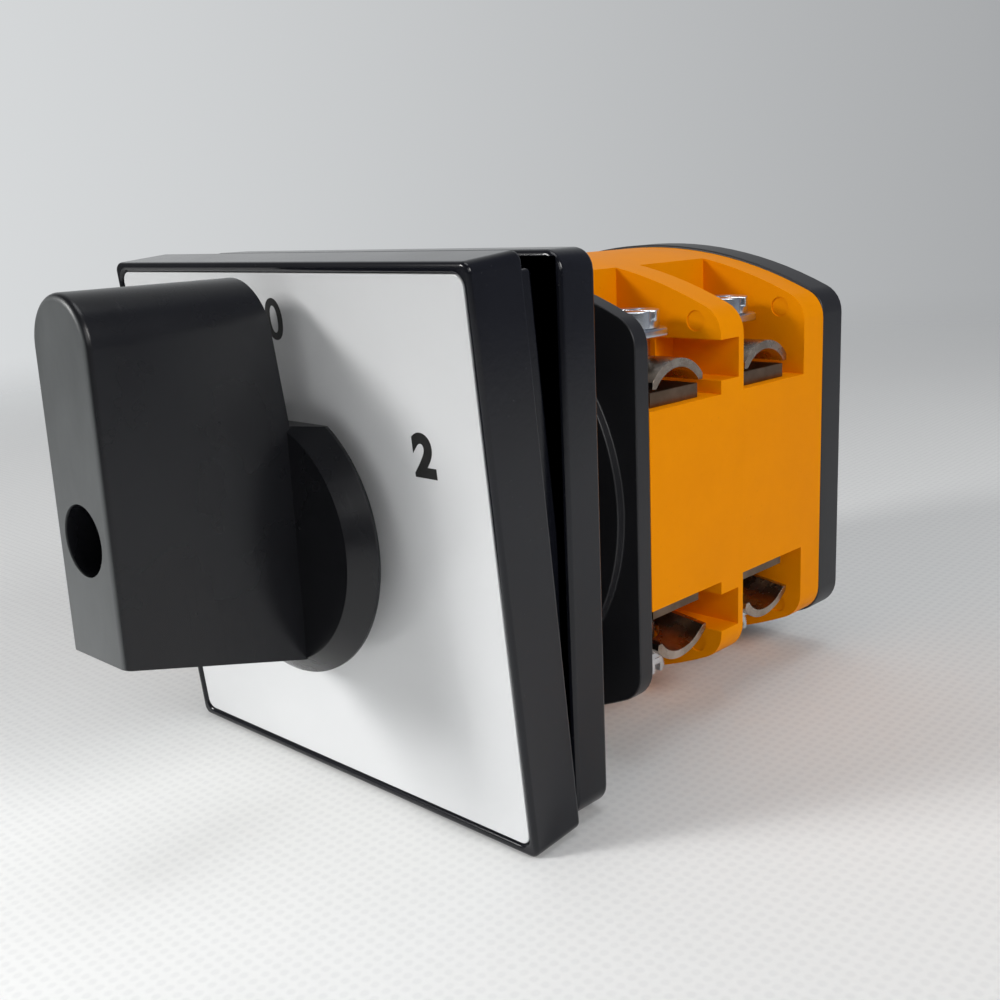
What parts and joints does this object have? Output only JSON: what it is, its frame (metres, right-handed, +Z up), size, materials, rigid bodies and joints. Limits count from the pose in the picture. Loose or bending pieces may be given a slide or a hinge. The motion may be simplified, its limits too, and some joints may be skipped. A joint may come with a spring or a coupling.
{
  "type": "rotary cam changeover switch",
  "caption": "Panel-mounted manual transfer switch with a pistol-grip handle, a square label frame and stacked cam contact chambers with saddle-clamp terminals.",
  "frame": {"origin": "on the shaft's axis, in the plane of the panel's front face, where the mounting frame seats", "axes": "+X to the right seen from the handle, +Y along the shaft into the panel, +Z up towards the middle position"},
  "size_m": [0.064, 0.1003, 0.0644],
  "materials": {
    "black_gloss": "glossy black thermoplastic",
    "black_matte": "satin black thermoplastic with a fine grain",
    "label": "satin white laminate",
    "orange": "satin orange thermoset",
    "white_nylon": "natural nylon",
    "zinc_steel": "zinc-plated steel",
    "spring_steel": "bright spring steel",
    "plated_bar": "tarnished nickel plate on copper",
    "copper": "bare copper with silver tips"
  },
  "bodies": {
    "housing": {"mounting_frame": "black_gloss", "frame_screws": "zinc_steel", "detent_housing": "black_matte", "detent_springs": "spring_steel", "chamber_1": "orange", "chamber_2": "orange", "terminal_bars_1": "plated_bar", "terminal_bars_2": "plated_bar", "wire_saddles_1": "plated_bar", "wire_saddles_2": "plated_bar", "clamp_plates_1": "zinc_steel", "clamp_plates_2": "zinc_steel", "terminal_screws_1": "zinc_steel", "terminal_screws_2": "zinc_steel", "spring_left_1": "spring_steel", "spring_right_1": "spring_steel", "spring_left_2": "spring_steel", "spring_right_2": "spring_steel", "end_cover": "black_matte", "tie_bolts": "zinc_steel"},
    "rotor": {"handle": "black_gloss", "handle_screw": "zinc_steel", "shaft": "spring_steel", "shaft_clip": "spring_steel", "detent_wheel": "white_nylon", "cam_1": "white_nylon", "cam_2": "white_nylon"},
    "bezel": {"label_frame": "black_gloss", "label_plate": "label"},
    "contact_left_1": {"bridge_left_1": "copper", "follower_left_1": "white_nylon"},
    "contact_right_1": {"bridge_right_1": "copper", "follower_right_1": "white_nylon"},
    "contact_left_2": {"bridge_left_2": "copper", "follower_left_2": "white_nylon"},
    "contact_right_2": {"bridge_right_2": "copper", "follower_right_2": "white_nylon"}
  },
  "joints": [
    {"name": "handle_turn", "type": "hinge", "parent": "housing", "child": "rotor", "pos_m": [0, 0, 0], "axis": [0, 1, 0], "range_deg": [-60, 60], "deforming": ["detent_springs"]},
    {"name": "bezel_lean", "type": "hinge", "parent": "housing", "child": "bezel", "pos_m": [0, -0.0056, -0.032], "axis": [1, 0, 0], "range_deg": [-5.5, 0]},
    {"name": "contact_left_1_slide", "type": "slide", "parent": "housing", "child": "contact_left_1", "axis": [-1, 0, 0], "range_m": [-0.0021, 0.0021], "deforming": ["spring_left_1"]},
    {"name": "contact_right_1_slide", "type": "slide", "parent": "housing", "child": "contact_right_1", "axis": [1, 0, 0], "range_m": [-0.0021, 0.0021], "deforming": ["spring_right_1"]},
    {"name": "contact_left_2_slide", "type": "slide", "parent": "housing", "child": "contact_left_2", "axis": [-1, 0, 0], "range_m": [-0.0021, 0.0021], "deforming": ["spring_left_2"]},
    {"name": "contact_right_2_slide", "type": "slide", "parent": "housing", "child": "contact_right_2", "axis": [1, 0, 0], "range_m": [-0.0021, 0.0021], "deforming": ["spring_right_2"]}
  ],
  "couplings": [
    {"joint": "contact_left_1_slide", "follows": "handle_turn", "m_per_rad": 0.0019099},
    {"joint": "contact_right_1_slide", "follows": "handle_turn", "m_per_rad": -0.0019099},
    {"joint": "contact_left_2_slide", "follows": "handle_turn", "m_per_rad": 0.0019099},
    {"joint": "contact_right_2_slide", "follows": "handle_turn", "m_per_rad": -0.0019099}
  ]
}
